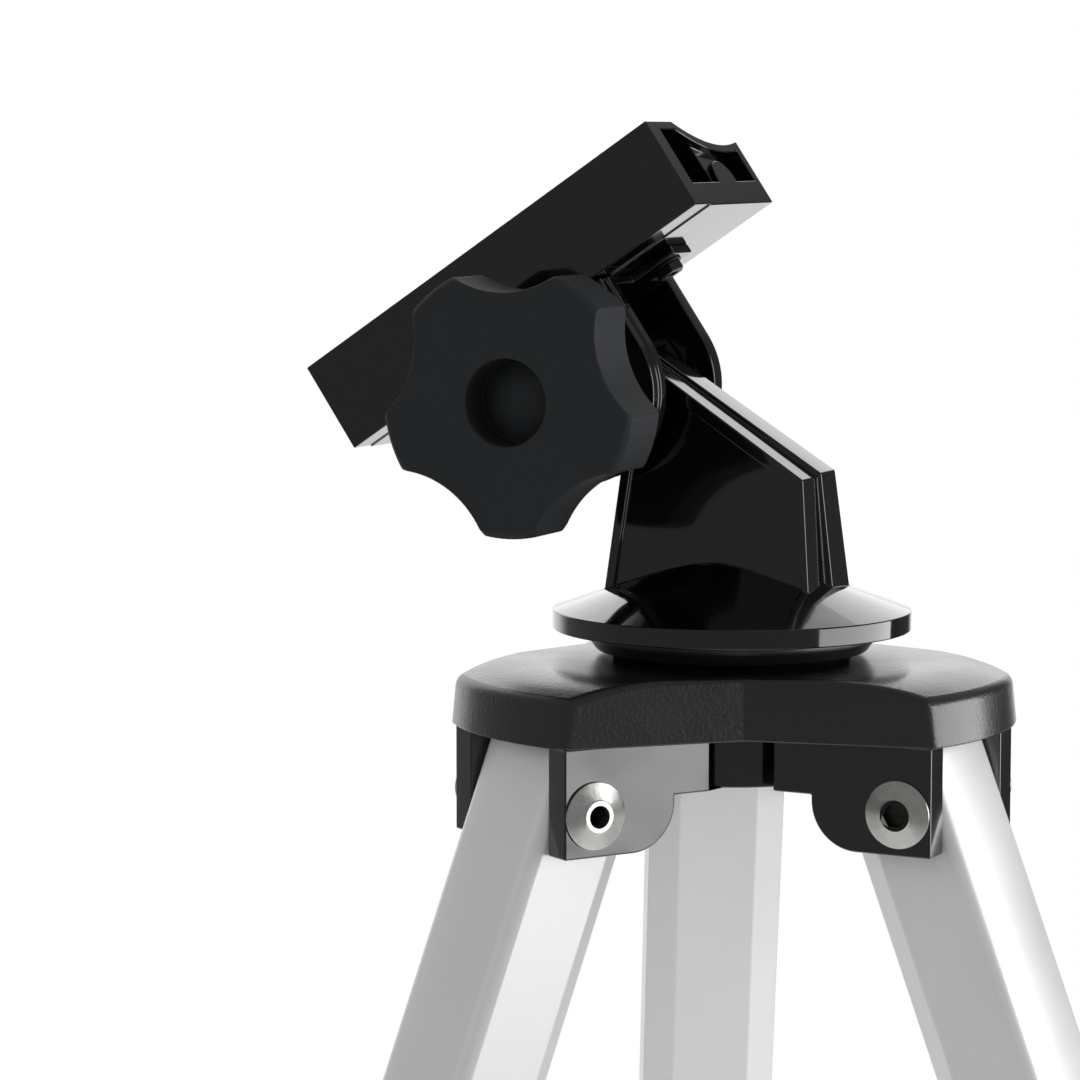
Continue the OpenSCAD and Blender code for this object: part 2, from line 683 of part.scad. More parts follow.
module turntable_arm() {
    color([0.05, 0.06, 0.07]) at_skirt() difference() {
        union() {
            rotate_extrude($fn = 180) polygon([[0, disc_z], [disc_r, disc_z], [disc_r, rim_z],
                                               [disc_flat_r, cone_z], [0, cone_z]]);
            intersection() {
                union() {
                    rotate([90, 0, 0]) linear_extrude(height = arm_foot_t) arm_outline(0, 0);
                    rotate([90, 0, 0]) translate([0, 0, -arm_foot_t]) linear_extrude(height = arm_foot_t)
                        arm_outline(arm_step, arm_step + arm_step_foot);
                }
                arm_slab(arm_panel_d);
            }
            intersection() {
                union() {
                    rotate([90, 0, 0]) linear_extrude(height = arm_foot_t) difference() {
                        arm_outline(0, 0);
                        panel_outline();
                    }
                    rotate([90, 0, 0]) translate([0, 0, -arm_foot_t])
                        linear_extrude(height = arm_foot_t) difference() {
                        arm_outline(arm_step, arm_step + arm_step_foot);
                        panel_outline();
                    }
                }
                arm_slab(0);
            }
            translate([-pivot_back, boss_face, pivot_up]) rotate([90, 0, 0])
                cylinder(h = 2 * boss_face, r = boss_r);
        }
        translate([-pivot_back, ear_gap, pivot_up]) rotate([90, 0, 0])
            cylinder(h = 2 * ear_gap, r = alt_bolt_r + run_gap);
        translate([0, 0, disc_z - 1]) cylinder(h = disc_rim + 2, r = az_bolt_r + bolt_gap);
        translate([0, 0, rim_z]) hex_prism(az_hex + 2 * bolt_gap, az_head_h + bolt_gap);
    }
}

module azimuth_bolt() {
    color([0.72, 0.72, 0.72]) at_skirt() {
        translate([0, 0, rim_z]) hex_prism(az_hex, az_head_h);
        translate([0, 0, az_bolt_tip + az_bolt_chamfer])
            cylinder(h = rim_z - az_bolt_tip - az_bolt_chamfer + eps, r = az_bolt_r);
        translate([0, 0, az_bolt_tip])
            cylinder(h = az_bolt_chamfer + eps, r1 = az_bolt_r - az_bolt_chamfer, r2 = az_bolt_r);
    }
}

module azimuth_washer() {
    color([0.75, 0.75, 0.75]) at_skirt() translate([0, 0, az_nut_top])
        washer(az_washer_r, az_bolt_r + bolt_gap, az_washer_t);
}

module azimuth_nut() {
    color([0.7, 0.7, 0.7]) at_skirt() translate([0, 0, az_nut_top - az_nut_h]) difference() {
        hex_prism(az_hex, az_nut_h);
        translate([0, 0, -1]) cylinder(h = az_nut_h + 2, r = az_bolt_r + bolt_gap);
    }
}

// Side view of one ear; inset draws it smaller
module ear_outline(inset) {
    radius = ear_r - inset;
    intersection() {
        circle(r = radius);
        translate([-radius, -radius]) square([2 * radius, radius + saddle_up]);
    }
    translate([-radius, 0]) square([2 * radius, saddle_up]);
}

module yoke() {
    color([0.06, 0.07, 0.07]) on_saddle() difference() {
        union() {
            for (side = [-1, 1]) {
                translate([0, side * (ear_gap / 2 + ear_t / 4) + ear_t / 4, 0]) rotate([90, 0, 0])
                    linear_extrude(height = ear_t / 2) ear_outline(0);
                translate([0, side * (ear_gap / 2 + ear_t * 3 / 4) + ear_t / 4, 0]) rotate([90, 0, 0])
                    linear_extrude(height = ear_t / 2) ear_outline(ear_step);
            }
            translate([-ear_r, -ear_gap / 2 - eps, yoke_low])
                cube([2 * ear_r, ear_gap + 2 * eps, yoke_base_t]);
            translate([-yoke_base_x, -yoke_flange_w / 2, yoke_low])
                cube([2 * yoke_base_x, yoke_flange_w, yoke_base_t]);
        }
        translate([0, 2 * ear_gap, 0]) rotate([90, 0, 0])
            cylinder(h = 4 * ear_gap, r = alt_bolt_r + bolt_gap);
        translate([-alt_neck_w / 2 - bolt_gap, ear_face - alt_neck_len - bolt_gap, -alt_neck_w / 2 - bolt_gap])
            cube([alt_neck_w + 2 * bolt_gap, ear_t, alt_neck_w + 2 * bolt_gap]);
        for (side = [-1, 1]) translate([side * yoke_bolt_x, 0, yoke_low - 1])
            cylinder(h = yoke_base_t + 2, r = yoke_bolt_r + bolt_gap);
    }
}

// End view of the saddle without its pockets
module saddle_outline() {
    difference() {
        translate([-saddle_half, saddle_up]) square([saddle_w, saddle_h]);
        translate([tube_offset, cradle_z]) circle(r = tube_r, $fn = 240);
        translate([-saddle_half - 1, saddle_up - 1]) square([saddle_strip_w + 1, saddle_step + 1]);
    }
}

// End view of the space between the saddle's walls, floor and skin
module pocket_outline() {
    difference() {
        translate([saddle_wall_near - saddle_half, saddle_up + saddle_floor])
            square([saddle_w - saddle_wall_near - saddle_wall_far, saddle_h - saddle_floor - saddle_skin]);
        translate([tube_offset, cradle_z]) circle(r = tube_r + saddle_skin, $fn = 240);
    }
}

// A boss round one of the saddle's holes
module saddle_boss(x, y, hole) {
    translate([x, y, saddle_up]) cylinder(h = 2 * saddle_h, r = hole + saddle_boss_wall);
}

// Cuts at one end of the saddle, whose end lies at length
module saddle_end_cuts(length) {
    rib_r = saddle_web / 2;
    rib_z = saddle_up + saddle_floor + saddle_rib_h - rib_r;
    difference() {
        translate([saddle_core, 0, 0]) rotate([90, 0, 90]) linear_extrude(height = length - saddle_core + 1)
            pocket_outline();
        translate([0, saddle_web_offset - rib_r, 0])
            cube([length - saddle_web_back, saddle_web, saddle_up + 2 * saddle_h]);
        translate([0, saddle_web_offset - rib_r, 0]) cube([length + 2, saddle_web, rib_z]);
        translate([0, saddle_web_offset, rib_z]) rotate([0, 90, 0]) cylinder(h = length + 2, r = rib_r);
        saddle_boss(yoke_bolt_x, 0, yoke_bolt_r);
        saddle_boss(tube_screw_x, tube_offset, tube_screw_r);
    }
}

module saddle() {
    bolt_hole = yoke_bolt_len - yoke_base_t - yoke_washer_t + tip_gap;
    color([0.05, 0.06, 0.07]) on_saddle() difference() {
        translate([-saddle_back, 0, 0]) rotate([90, 0, 90])
            linear_extrude(height = saddle_front + saddle_back)
            saddle_outline();
        saddle_end_cuts(saddle_front);
        mirror([1, 0, 0]) saddle_end_cuts(saddle_back);
        for (side = [-1, 1]) {
            translate([side * yoke_bolt_x, 0, saddle_up - 1])
                cylinder(h = bolt_hole + 1, r = yoke_bolt_r + bolt_gap);
            translate([side * tube_screw_x, tube_offset, saddle_up + cradle_h - tube_screw_depth])
                cylinder(h = saddle_h, r = tube_screw_r);
        }
    }
}

module yoke_bolts() {
    color([0.68, 0.67, 0.65]) on_saddle() for (side = [-1, 1]) translate([side * yoke_bolt_x, 0, yoke_head_z])
        difference() {
            union() {
                translate([0, 0, -yoke_bolt_head]) hex_prism(yoke_bolt_hex, yoke_bolt_head);
                cylinder(h = yoke_bolt_len, r = yoke_bolt_r);
            }
            translate([0, 0, -yoke_bolt_head - 1]) hex_prism(yoke_socket_hex, yoke_socket_depth + 1);
        }
}

module yoke_washers() {
    color([0.7, 0.7, 0.68]) on_saddle() for (side = [-1, 1]) translate([side * yoke_bolt_x, 0, yoke_head_z])
        washer(yoke_washer_r, yoke_bolt_r + bolt_gap, yoke_washer_t);
}

module altitude_bolt() {
    neck_start = ear_face - alt_neck_len;
    shank_end = insert_end - tip_gap;
    dome_r = (alt_head_r * alt_head_r + alt_head_h * alt_head_h) / (2 * alt_head_h);
    color([0.7, 0.7, 0.7]) at_pivot() {
        translate([0, 0, -ear_face]) intersection() {
            translate([0, 0, dome_r - alt_head_h]) sphere(r = dome_r, $fn = 96);
            translate([0, 0, -alt_head_h - 1]) cylinder(h = alt_head_h + 1, r = alt_head_r);
        }
        translate([0, 0, -ear_face - eps]) rotate([0, 0, saddle_tilt])
            translate([-alt_neck_w / 2, -alt_neck_w / 2, 0])
                cube([alt_neck_w, alt_neck_w, ear_face - neck_start + eps]);
        translate([0, 0, -neck_start - eps]) cylinder(h = neck_start + shank_end, r = alt_bolt_r);
    }
}

module friction_washers() {
    color([0.85, 0.84, 0.8]) at_pivot() for (z = [-ear_gap / 2, boss_face])
        translate([0, 0, z]) washer(boss_r - friction_inset, alt_bolt_r + bolt_gap, friction_t);
}

module knob_washer() {
    color([0.7, 0.7, 0.7]) at_pivot() translate([0, 0, ear_face])
        washer(knob_washer_r, alt_bolt_r + bolt_gap, knob_washer_t);
}

// Head of a scalloped knob from z = 0 to height, with bevelled lobes
module lobed_head(radius, height, lobes, cut_r, cut_depth, edge) {
    intersection() {
        rotate_extrude() polygon([[0, 0], [radius - edge, 0], [radius, edge], [radius, height - edge],
                                  [radius - edge, height], [0, height]]);
        translate([0, 0, -1]) linear_extrude(height = height + 2) difference() {
            circle(r = radius + 1);
            for (i = [0 : lobes - 1]) rotate([0, 0, (i + 0.5) * 360 / lobes])
                translate([radius - cut_depth + cut_r, 0]) circle(r = cut_r);
        }
    }
}

module altitude_knob() {
    dome_r = (knob_recess_r * knob_recess_r + knob_dome_h * knob_dome_h) / (2 * knob_dome_h);
    recess_z = knob_face - knob_recess_d;
    color([0.16, 0.17, 0.17]) at_pivot() {
        difference() {
            union() {
                translate([0, 0, knob_back]) rotate([0, 0, knob_turn - 90])
                    lobed_head(knob_r, knob_h, knob_lobes, scallop_r, scallop_depth, knob_edge_r);
                translate([0, 0, knob_seat]) cylinder(h = knob_boss_len + 1, r = knob_boss_r);
            }
            translate([0, 0, recess_z]) cylinder(h = knob_recess_d + 1, r = knob_recess_r);
            translate([0, 0, knob_seat - 1]) cylinder(h = insert_len + 1, r = insert_r + bolt_gap);
        }
        translate([0, 0, recess_z - eps]) intersection() {
            translate([0, 0, knob_dome_h - dome_r]) sphere(r = dome_r, $fn = 96);
            cylinder(h = knob_dome_h + 1, r = knob_recess_r + eps);
        }
    }
}

module knob_insert() {
    color([0.75, 0.62, 0.32]) at_pivot() translate([0, 0, knob_seat])
        washer(insert_r, alt_bolt_r + run_gap, insert_len);
}

module leg_tube(i) {
    color([0.74, 0.75, 0.75]) at_leg(i) difference() {
        translate([0, 0, tube_end]) linear_extrude(height = leg_len) outer_outline();
        translate([0, 0, tube_end - 1]) linear_extrude(height = leg_len + 2) outer_outline(-leg_wall);
        translate([0, leg_w, 0]) rotate([90, 0, 0]) cylinder(h = 2 * leg_w, r = sleeve_r + leg_hole_gap);
    }
}

module leg_plug(i) {
    color([0.1, 0.1, 0.1]) at_leg(i) difference() {
        translate([0, 0, leg_over - plug_len]) linear_extrude(height = plug_len)
            outer_outline(-leg_wall - bolt_gap);
        translate([0, leg_w, 0]) rotate([90, 0, 0]) cylinder(h = 2 * leg_w, r = sleeve_r + run_gap);
    }
}

// Height of the lock screw's axis on the leg
function lock_z() = tube_end - collar_nose / 2;
// Face of the collar's screw boss
function lock_boss_face() = leg_front + leg_crown + collar_wall + collar_boss_len;

module leg_collar(i) {
    screw_hole = lock_screw_r + run_gap;
    color([0.1, 0.1, 0.11]) at_leg(i) difference() {
        union() {
            translate([0, 0, collar_end]) linear_extrude(height = collar_nose + collar_grip)
                outer_outline(collar_wall);
            translate([0, 0, lock_z()]) rotate([0, 90, 0]) cylinder(h = lock_boss_face(), r = collar_boss_r);
        }
        translate([0, 0, tube_end]) linear_extrude(height = collar_grip + 1) outer_outline(bolt_gap);
        translate([0, 0, collar_end - 1]) linear_extrude(height = collar_nose + 2)
            inner_outline(leg_glide_gap);
        translate([0, 0, lock_z()]) rotate([0, 90, 0]) cylinder(h = lock_boss_face() + 1, r = screw_hole);
    }
}

module leg_inner_tube(i) {
    color([0.7, 0.71, 0.71]) at_leg(i) difference() {
        translate([0, 0, inner_end]) linear_extrude(height = inner_len) inner_outline();
        translate([0, 0, inner_end - 1]) linear_extrude(height = inner_len + 2) inner_outline(-leg_wall);
    }
}

module leg_glide(i) {
    color([0.12, 0.12, 0.12]) at_leg(i) {
        translate([0, 0, inner_top]) linear_extrude(height = leg_glide_collar)
            outer_outline(-leg_wall - leg_glide_gap);
        translate([0, 0, inner_top - leg_glide_len]) linear_extrude(height = leg_glide_len + eps)
            inner_outline(-leg_wall - bolt_gap);
    }
}

module leg_foot(i) {
    color([0.09, 0.09, 0.09]) difference() {
        union() {
            at_leg(i) translate([0, 0, sole_end - foot_pad_r])
                linear_extrude(height = foot_top - sole_end + foot_pad_r)
                inner_outline(foot_wall);
            at_skirt() rotate([0, 0, tripod_turn + i * turn_step])
                translate([hinge_r - sole_end * sin(splay) + leg_mid * cos(splay), 0, -skirt_z])
                    cylinder(h = foot_pad_h, r = foot_pad_r);
        }
        at_leg(i) translate([0, 0, inner_end]) linear_extrude(height = foot_grip + 1) inner_outline(bolt_gap);
        translate([-2 * leg_len, -2 * leg_len, -4 * foot_pad_r])
            cube([4 * leg_len, 4 * leg_len, 4 * foot_pad_r]);
    }
}

module leg_lock_knob(i) {
    color([0.1, 0.1, 0.11]) at_leg(i) translate([lock_boss_face() + lock_knob_gap, 0, lock_z()])
        rotate([0, 90, 0])
        difference() {
            lobed_head(lock_knob_r, lock_knob_h, knob_lobes, lock_scallop_r, lock_scallop_depth, knob_edge_r);
            translate([0, 0, -1]) cylinder(h = lock_knob_bore + 1, r = lock_screw_r + bolt_gap);
        }
}

module leg_lock_screw(i) {
    start = inner_front + leg_crown + leg_glide_gap;
    end = lock_boss_face() + lock_knob_gap + lock_knob_bore;
    color([0.7, 0.7, 0.7]) at_leg(i) translate([start, 0, lock_z()]) rotate([0, 90, 0])
        cylinder(h = end - start, r = lock_screw_r);
}

tripod_head();
leg_hinge_sleeves();
leg_hinge_screws();
turntable_glide();
turntable_arm();
azimuth_bolt();
azimuth_washer();
azimuth_nut();
yoke();
saddle();
yoke_bolts();
yoke_washers();
altitude_bolt();
friction_washers();
knob_washer();
altitude_knob();
knob_insert();
leg_tube(0);  // leg_1_tube
leg_plug(0);  // leg_1_plug
leg_collar(0);  // leg_1_collar
leg_inner_tube(0);  // leg_1_inner_tube
leg_glide(0);  // leg_1_glide
leg_foot(0);  // leg_1_foot
leg_lock_knob(0);  // leg_1_lock_knob
leg_lock_screw(0);  // leg_1_lock_screw
leg_tube(1);  // leg_2_tube
leg_plug(1);  // leg_2_plug
leg_collar(1);  // leg_2_collar
leg_inner_tube(1);  // leg_2_inner_tube
leg_glide(1);  // leg_2_glide
leg_foot(1);  // leg_2_foot
leg_lock_knob(1);  // leg_2_lock_knob
leg_lock_screw(1);  // leg_2_lock_screw
leg_tube(2);  // leg_3_tube
leg_plug(2);  // leg_3_plug
leg_collar(2);  // leg_3_collar
leg_inner_tube(2);  // leg_3_inner_tube
leg_glide(2);  // leg_3_glide
leg_foot(2);  // leg_3_foot
leg_lock_knob(2);  // leg_3_lock_knob
leg_lock_screw(2);  // leg_3_lock_screw
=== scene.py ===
"""Looks of an alt azimuth telescope mount on a folding tripod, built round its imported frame."""

import json
import logging
import math
from dataclasses import dataclass, field
from enum import Enum

import bmesh
import bpy
from mathutils import Matrix, Vector


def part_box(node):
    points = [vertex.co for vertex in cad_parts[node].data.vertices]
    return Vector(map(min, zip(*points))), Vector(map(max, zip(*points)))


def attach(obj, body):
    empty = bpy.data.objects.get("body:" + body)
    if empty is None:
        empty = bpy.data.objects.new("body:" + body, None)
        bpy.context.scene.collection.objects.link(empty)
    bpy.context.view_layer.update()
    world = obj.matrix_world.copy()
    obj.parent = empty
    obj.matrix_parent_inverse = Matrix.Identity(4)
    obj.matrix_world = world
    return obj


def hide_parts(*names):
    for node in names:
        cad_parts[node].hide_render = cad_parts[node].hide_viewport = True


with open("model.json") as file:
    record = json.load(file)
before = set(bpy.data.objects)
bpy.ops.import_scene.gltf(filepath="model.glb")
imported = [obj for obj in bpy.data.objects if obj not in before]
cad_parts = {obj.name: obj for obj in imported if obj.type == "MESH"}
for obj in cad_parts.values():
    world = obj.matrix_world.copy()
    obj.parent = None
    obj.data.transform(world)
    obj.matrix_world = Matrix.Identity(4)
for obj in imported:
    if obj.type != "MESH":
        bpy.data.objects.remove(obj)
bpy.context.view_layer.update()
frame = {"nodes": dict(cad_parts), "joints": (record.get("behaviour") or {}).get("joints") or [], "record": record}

MM = 0.001
LEGS = (1, 2, 3)
SHARP_EDGE = 30.0  # degrees above which an edge is rounded
SMOOTH_LIMIT = 36.0  # degrees above which an edge stays sharp in the shading
FLAT_LIMIT = 0.4  # degrees up to which neighbouring facets become one face
SAME_POINT = 2e-6  # metres within which points of a CAD mesh are one
SAME_ROUNDED_POINT = 5e-6  # metres within which points of a rounded mesh are one
SAME_BEAD_POINT = 1e-6  # metres within which points of a bead are one
BEAD_SIDES = 10  # sides of a bead's round section
LEAST_ROUGHNESS = 0.02
NOISE_RANGE = (0.3, 0.7)  # values between which most of a soft noise lies
FINE_SHARE = 0.6  # size and strength of the fine noise on pebbles, as a share of theirs
LINE_STRETCH = (1.0, 1.0, 0.004)  # scale of the noise across, across and along fine lines
log = logging.getLogger("mount")


class Grain(Enum):
    """Surface relief of a finish."""

    PEBBLE = "pebble"
    PEEL = "peel"
    LINES = "lines"
    SPANGLE = "spangle"
    SAND = "sand"


class HubArea(Enum):
    """Part of the hub with a finish of its own, by its material slot; the stem gets painted shade, and the seat a
    lighter tone that is partly painted light.
    """

    WALL = 0
    CHEEK = 1
    # Painted shade: the neck under the seat ring is near-black matte where its shadow falls.
    STEM_PAINTED_SHADE = 2
    # Partly painted light: the seat ring is rougher than the walls and painted lighter to stand in for its
    # highlight.
    SEAT_WITH_PAINTED_LIGHT = 3


class Role(Enum):
    """What a lamp does in the studio."""

    KEY = "key"
    FILL = "fill"
    TOP = "top"
    BACK = "back"


def joint_record(name: str) -> dict[str, object]:
    """Place and axis of one of the frame's joints."""
    return next(joint for joint in frame["joints"] if joint["name"] == name)


def linear(tone: float) -> float:
    """Linear value of a display tone from 0 to 1."""
    return tone / 12.92 if tone <= 0.04045 else ((tone + 0.055) / 1.055) ** 2.4


@dataclass(frozen=True)
class Finish:
    """A surface finish: colour, gloss and relief, with lengths in millimetres."""

    name: str
    slot: str
    tone: tuple[int, int, int]
    roughness: float
    grain: Grain
    grain_size: float
    grain_depth: float
    metallic: float = 0.0
    specular: float = 0.5
    coat: float = 0.0
    coat_roughness: float = 0.1
    mottle: float = 0.06
    mottle_size: float = 18.0
    roughness_spread: float = 0.05
    turn: tuple[float, float, float] = (0.0, 0.0, 0.0)

    def colour(self, share: float = 1.0) -> tuple[float, float, float, float]:
        """Linear colour of the finish, made lighter or darker.

        Args:
            share: what the colour is multiplied by.

        Returns:
            Red, green, blue and alpha.
        """
        red, green, blue = (min(1.0, linear(part / 255) * share) for part in self.tone)
        return red, green, blue, 1.0

    def material(self) -> bpy.types.Material:
        """The finish as a material, made once.

        Returns:
            The material.
        """
        title = f"{self.name}_finish"
        known = bpy.data.materials.get(title)
        if known is not None:
            return known
        made = bpy.data.materials.new(title)
        made.use_nodes = True
        made.diffuse_color = self.colour()
        tree = made.node_tree
        shader = tree.nodes["Principled BSDF"]
        shader.inputs["Metallic"].default_value = self.metallic
        shader.inputs["Specular IOR Level"].default_value = self.specular
        shader.inputs["Coat Weight"].default_value = self.coat
        shader.inputs["Coat Roughness"].default_value = self.coat_roughness
        place = tree.nodes.new("ShaderNodeTexCoord")
        turned = tree.nodes.new("ShaderNodeMapping")
        turned.inputs["Rotation"].default_value = self.turn
        tree.links.new(place.outputs["Object"], turned.inputs["Vector"])
        where = turned.outputs["Vector"]
        cloud = self._noise(tree, where, self.mottle_size, 3.0)
        self._tint(tree, shader, cloud, where)
        spread = tree.nodes.new("ShaderNodeMapRange")
        spread.inputs["From Min"].default_value = NOISE_RANGE[0]
        spread.inputs["From Max"].default_value = NOISE_RANGE[1]
        spread.inputs["To Min"].default_value = max(LEAST_ROUGHNESS, self.roughness - self.roughness_spread)
        spread.inputs["To Max"].default_value = self.roughness + self.roughness_spread
        tree.links.new(cloud, spread.inputs["Value"])
        tree.links.new(spread.outputs["Result"], shader.inputs["Roughness"])
        bump = tree.nodes.new("ShaderNodeBump")
        bump.inputs["Strength"].default_value = 1.0
        bump.inputs["Distance"].default_value = self.grain_depth * MM
        tree.links.new(self._relief(tree, where), bump.inputs["Height"])
        tree.links.new(bump.outputs["Normal"], shader.inputs["Normal"])
        return made

    def _noise(
        self, tree: bpy.types.NodeTree, where: bpy.types.NodeSocket, size: float, detail: float
    ) -> bpy.types.NodeSocket:
        """A soft noise of a feature size in millimetres.

        Args:
            tree: the material's nodes.
            where: the coordinates that it reads.
            size: size of its features.
            detail: how many finer layers it has.

        Returns:
            The socket with its value.
        """
        noise = tree.nodes.new("ShaderNodeTexNoise")
        noise.inputs["Scale"].default_value = 1.0 / (size * MM)
        noise.inputs["Detail"].default_value = detail
        tree.links.new(where, noise.inputs["Vector"])
        return noise.outputs["Fac"]

    def _cells(self, tree: bpy.types.NodeTree, where: bpy.types.NodeSocket, size: float) -> bpy.types.Node:
        """Cells of a size in millimetres, as a Voronoi node."""
        cells = tree.nodes.new("ShaderNodeTexVoronoi")
        cells.inputs["Scale"].default_value = 1.0 / (size * MM)
        tree.links.new(where, cells.inputs["Vector"])
        return cells

    def _tint(
        self, tree: bpy.types.NodeTree, shader: bpy.types.Node, cloud: bpy.types.NodeSocket,
        where: bpy.types.NodeSocket,
    ) -> None:
        """Colour that varies a little over the surface.

        Args:
            tree: the material's nodes.
            shader: the surface shader.
            cloud: the noise that drives the variation.
            where: the coordinates.
        """
        mix = tree.nodes.new("ShaderNodeMix")
        mix.data_type = "RGBA"
        mix.inputs["A"].default_value = self.colour(1.0 - self.mottle)
        mix.inputs["B"].default_value = self.colour(1.0 + self.mottle)
        driver = cloud
        if self.grain is Grain.SPANGLE:
            driver = self._cells(tree, where, self.grain_size).outputs["Color"]
        tree.links.new(driver, mix.inputs["Factor"])
        tree.links.new(mix.outputs["Result"], shader.inputs["Base Color"])

    def _relief(self, tree: bpy.types.NodeTree, where: bpy.types.NodeSocket) -> bpy.types.NodeSocket:
        """Height field of the finish's grain.

        Args:
            tree: the material's nodes.
            where: the coordinates.

        Returns:
            The socket with the height.
        """
        if self.grain is Grain.PEBBLE:
            cells = self._cells(tree, where, self.grain_size)
            cells.feature = "SMOOTH_F1"
            blend = tree.nodes.new("ShaderNodeMath")
            blend.operation = "MULTIPLY_ADD"
            blend.inputs[1].default_value = FINE_SHARE
            tree.links.new(self._noise(tree, where, self.grain_size * FINE_SHARE, 2.0), blend.inputs[0])
            tree.links.new(cells.outputs["Distance"], blend.inputs[2])
            return blend.outputs["Value"]
        if self.grain is Grain.LINES:
            stretch = tree.nodes.new("ShaderNodeMapping")
            stretch.inputs["Scale"].default_value = LINE_STRETCH
            tree.links.new(where, stretch.inputs["Vector"])
            return self._noise(tree, stretch.outputs["Vector"], self.grain_size, 4.0)
        detail = {Grain.PEEL: 1.0, Grain.SPANGLE: 3.0, Grain.SAND: 5.0}[self.grain]
        return self._noise(tree, where, self.grain_size, detail)


HUB_PLASTIC = Finish(
    "hub_plastic", "hub_plastic", (15, 16, 17), 0.3, Grain.PEBBLE, 0.7, 0.07,
    specular=0.6, coat=0.7, coat_roughness=0.2,
)
CHEEK_PLASTIC = Finish(
    "cheek_plastic", "hub_plastic", (9, 9, 10), 0.14, Grain.PEEL, 14.0, 0.5,
    specular=0.6, coat=1.0, coat_roughness=0.06,
)
# Seat ring: rougher than the hub plastic (real), and lighter in tone as painted light for the highlight on the ring.
SEAT_PLASTIC_PAINTED_LIGHT = Finish(
    "seat_plastic_painted_light", "hub_plastic", (24, 25, 26), 0.42, Grain.PEBBLE, 0.7, 0.07,
    specular=0.6, coat=0.9, coat_roughness=0.34,
)
# Painted shade: near-black matte plastic for the hub's neck, which lies in the seat ring's shadow.
PAINTED_SHADE_PLASTIC = Finish("painted_shade_plastic", "hub_plastic", (4, 4, 4), 0.85, Grain.PEBBLE, 0.7, 0.02, specular=0.1)
GLOSS_BLACK = Finish(
    "black_gloss_plastic", "black_gloss_plastic", (5, 5, 7), 0.1, Grain.PEEL, 2.4, 0.004,
    mottle=0.1, roughness_spread=0.03, coat=1.0, coat_roughness=0.04,
)
PLAIN_BLACK = Finish("black_plastic", "black_plastic", (18, 19, 20), 0.4, Grain.SAND, 0.5, 0.02)
KNOB_PLASTIC = Finish("knob_plastic", "knob_plastic", (38, 40, 42), 0.58, Grain.SAND, 0.6, 0.02, specular=0.22)
PAINTED_STEEL = Finish(
    "black_painted_steel", "black_painted_steel", (7, 8, 9), 0.14, Grain.PEEL, 1.6, 0.006,
    mottle=0.1, roughness_spread=0.03, coat=0.6, coat_roughness=0.06,
)
# Blackened steel: the real colour of the yoke bolts and washers, and painted shade inside the hinge screws' hexagon
# sockets.
BLACKENED_STEEL_AND_SOCKET_SHADE = Finish(
    "blackened_steel_and_socket_shade", "zinc_steel", (62, 60, 57), 0.32, Grain.SPANGLE, 1.0, 0.01, metallic=1.0, mottle=0.2
)
ZINC_STEEL = Finish(
    "zinc_steel", "zinc_steel", (212, 212, 208), 0.24, Grain.SPANGLE, 1.4, 0.004, metallic=1.0, mottle=0.08
)
BRASS = Finish("brass", "brass", (206, 170, 98), 0.28, Grain.SAND, 0.8, 0.012, metallic=1.0)
NYLON = Finish("nylon_white", "nylon_white", (226, 226, 218), 0.45, Grain.SAND, 0.6, 0.01)
RUBBER = Finish("foot_rubber", "foot_rubber", (30, 30, 31), 0.75, Grain.SAND, 0.7, 0.06)


def anodised(leg: int) -> Finish:
    """Anodised aluminium whose fine lines run along one leg.

    Args:
        leg: number of the leg.

    Returns:
        The finish.
    """
    along = Vector(joint_record(f"leg_{leg}_extend")["axis"])
    turn = along.rotation_difference(Vector((0.0, 0.0, -1.0))).to_euler()
    return Finish(
        f"anodised_aluminium_{leg}", "anodised_aluminium", (236, 237, 236), 0.36, Grain.LINES, 0.5, 0.02,
        metallic=0.4, mottle=0.05, mottle_size=40.0, turn=tuple(turn),
    )


def coat_node(node: str, finish: Finish) -> None:
    """Gives a CAD node a finish.

    Args:
        node: name of the node.
        finish: its finish.
    """
    shape = frame["nodes"][node]
    shape.data.materials.clear()
    shape.data.materials.append(finish.material())
    log.info("%s wears %s", node, finish.name)


def place_piece(name: str, mesh: bpy.types.Mesh, body: str, finish: Finish) -> bpy.types.Object:
    """Puts a mesh in the scene as a piece of one body.

    Args:
        name: name of the piece.
        mesh: its mesh, in place.
        body: the CAD body that carries it.
        finish: its finish.

    Returns:
        The piece.
    """
    piece = bpy.data.objects.new(name, mesh)
    bpy.context.scene.collection.objects.link(piece)
    mesh.materials.clear()
    mesh.materials.append(finish.material())
    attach(piece, body)
    log.info("%s: %d faces on %s", name, len(mesh.polygons), body)
    return piece


@dataclass(frozen=True)
class Wide:
    """Convex edges of an outer wall that get a wide rounding, with lengths in millimetres."""

    width: float
    steps: int
    above: float
    beyond: float
    sharp: float = SHARP_EDGE
    level: float = 0.6
    upright: float = 0.25

    def takes(self, edge: bmesh.types.BMEdge) -> bool:
        """Whether an edge of a wall is one of them.

        Args:
            edge: the edge, between two faces.

        Returns:
            True for an upright corner or a top edge of the outer wall.
        """
        middle = (edge.verts[0].co + edge.verts[1].co) / 2
        if middle.z < self.above * MM or middle.xy.length < self.beyond * MM or not edge.is_convex:
            return False
        low, high = sorted(face.normal.z for face in edge.link_faces)
        if abs(low) >= self.upright or edge.calc_face_angle() <= math.radians(self.sharp):
            return False
        return high > self.level or abs(high) < self.upright


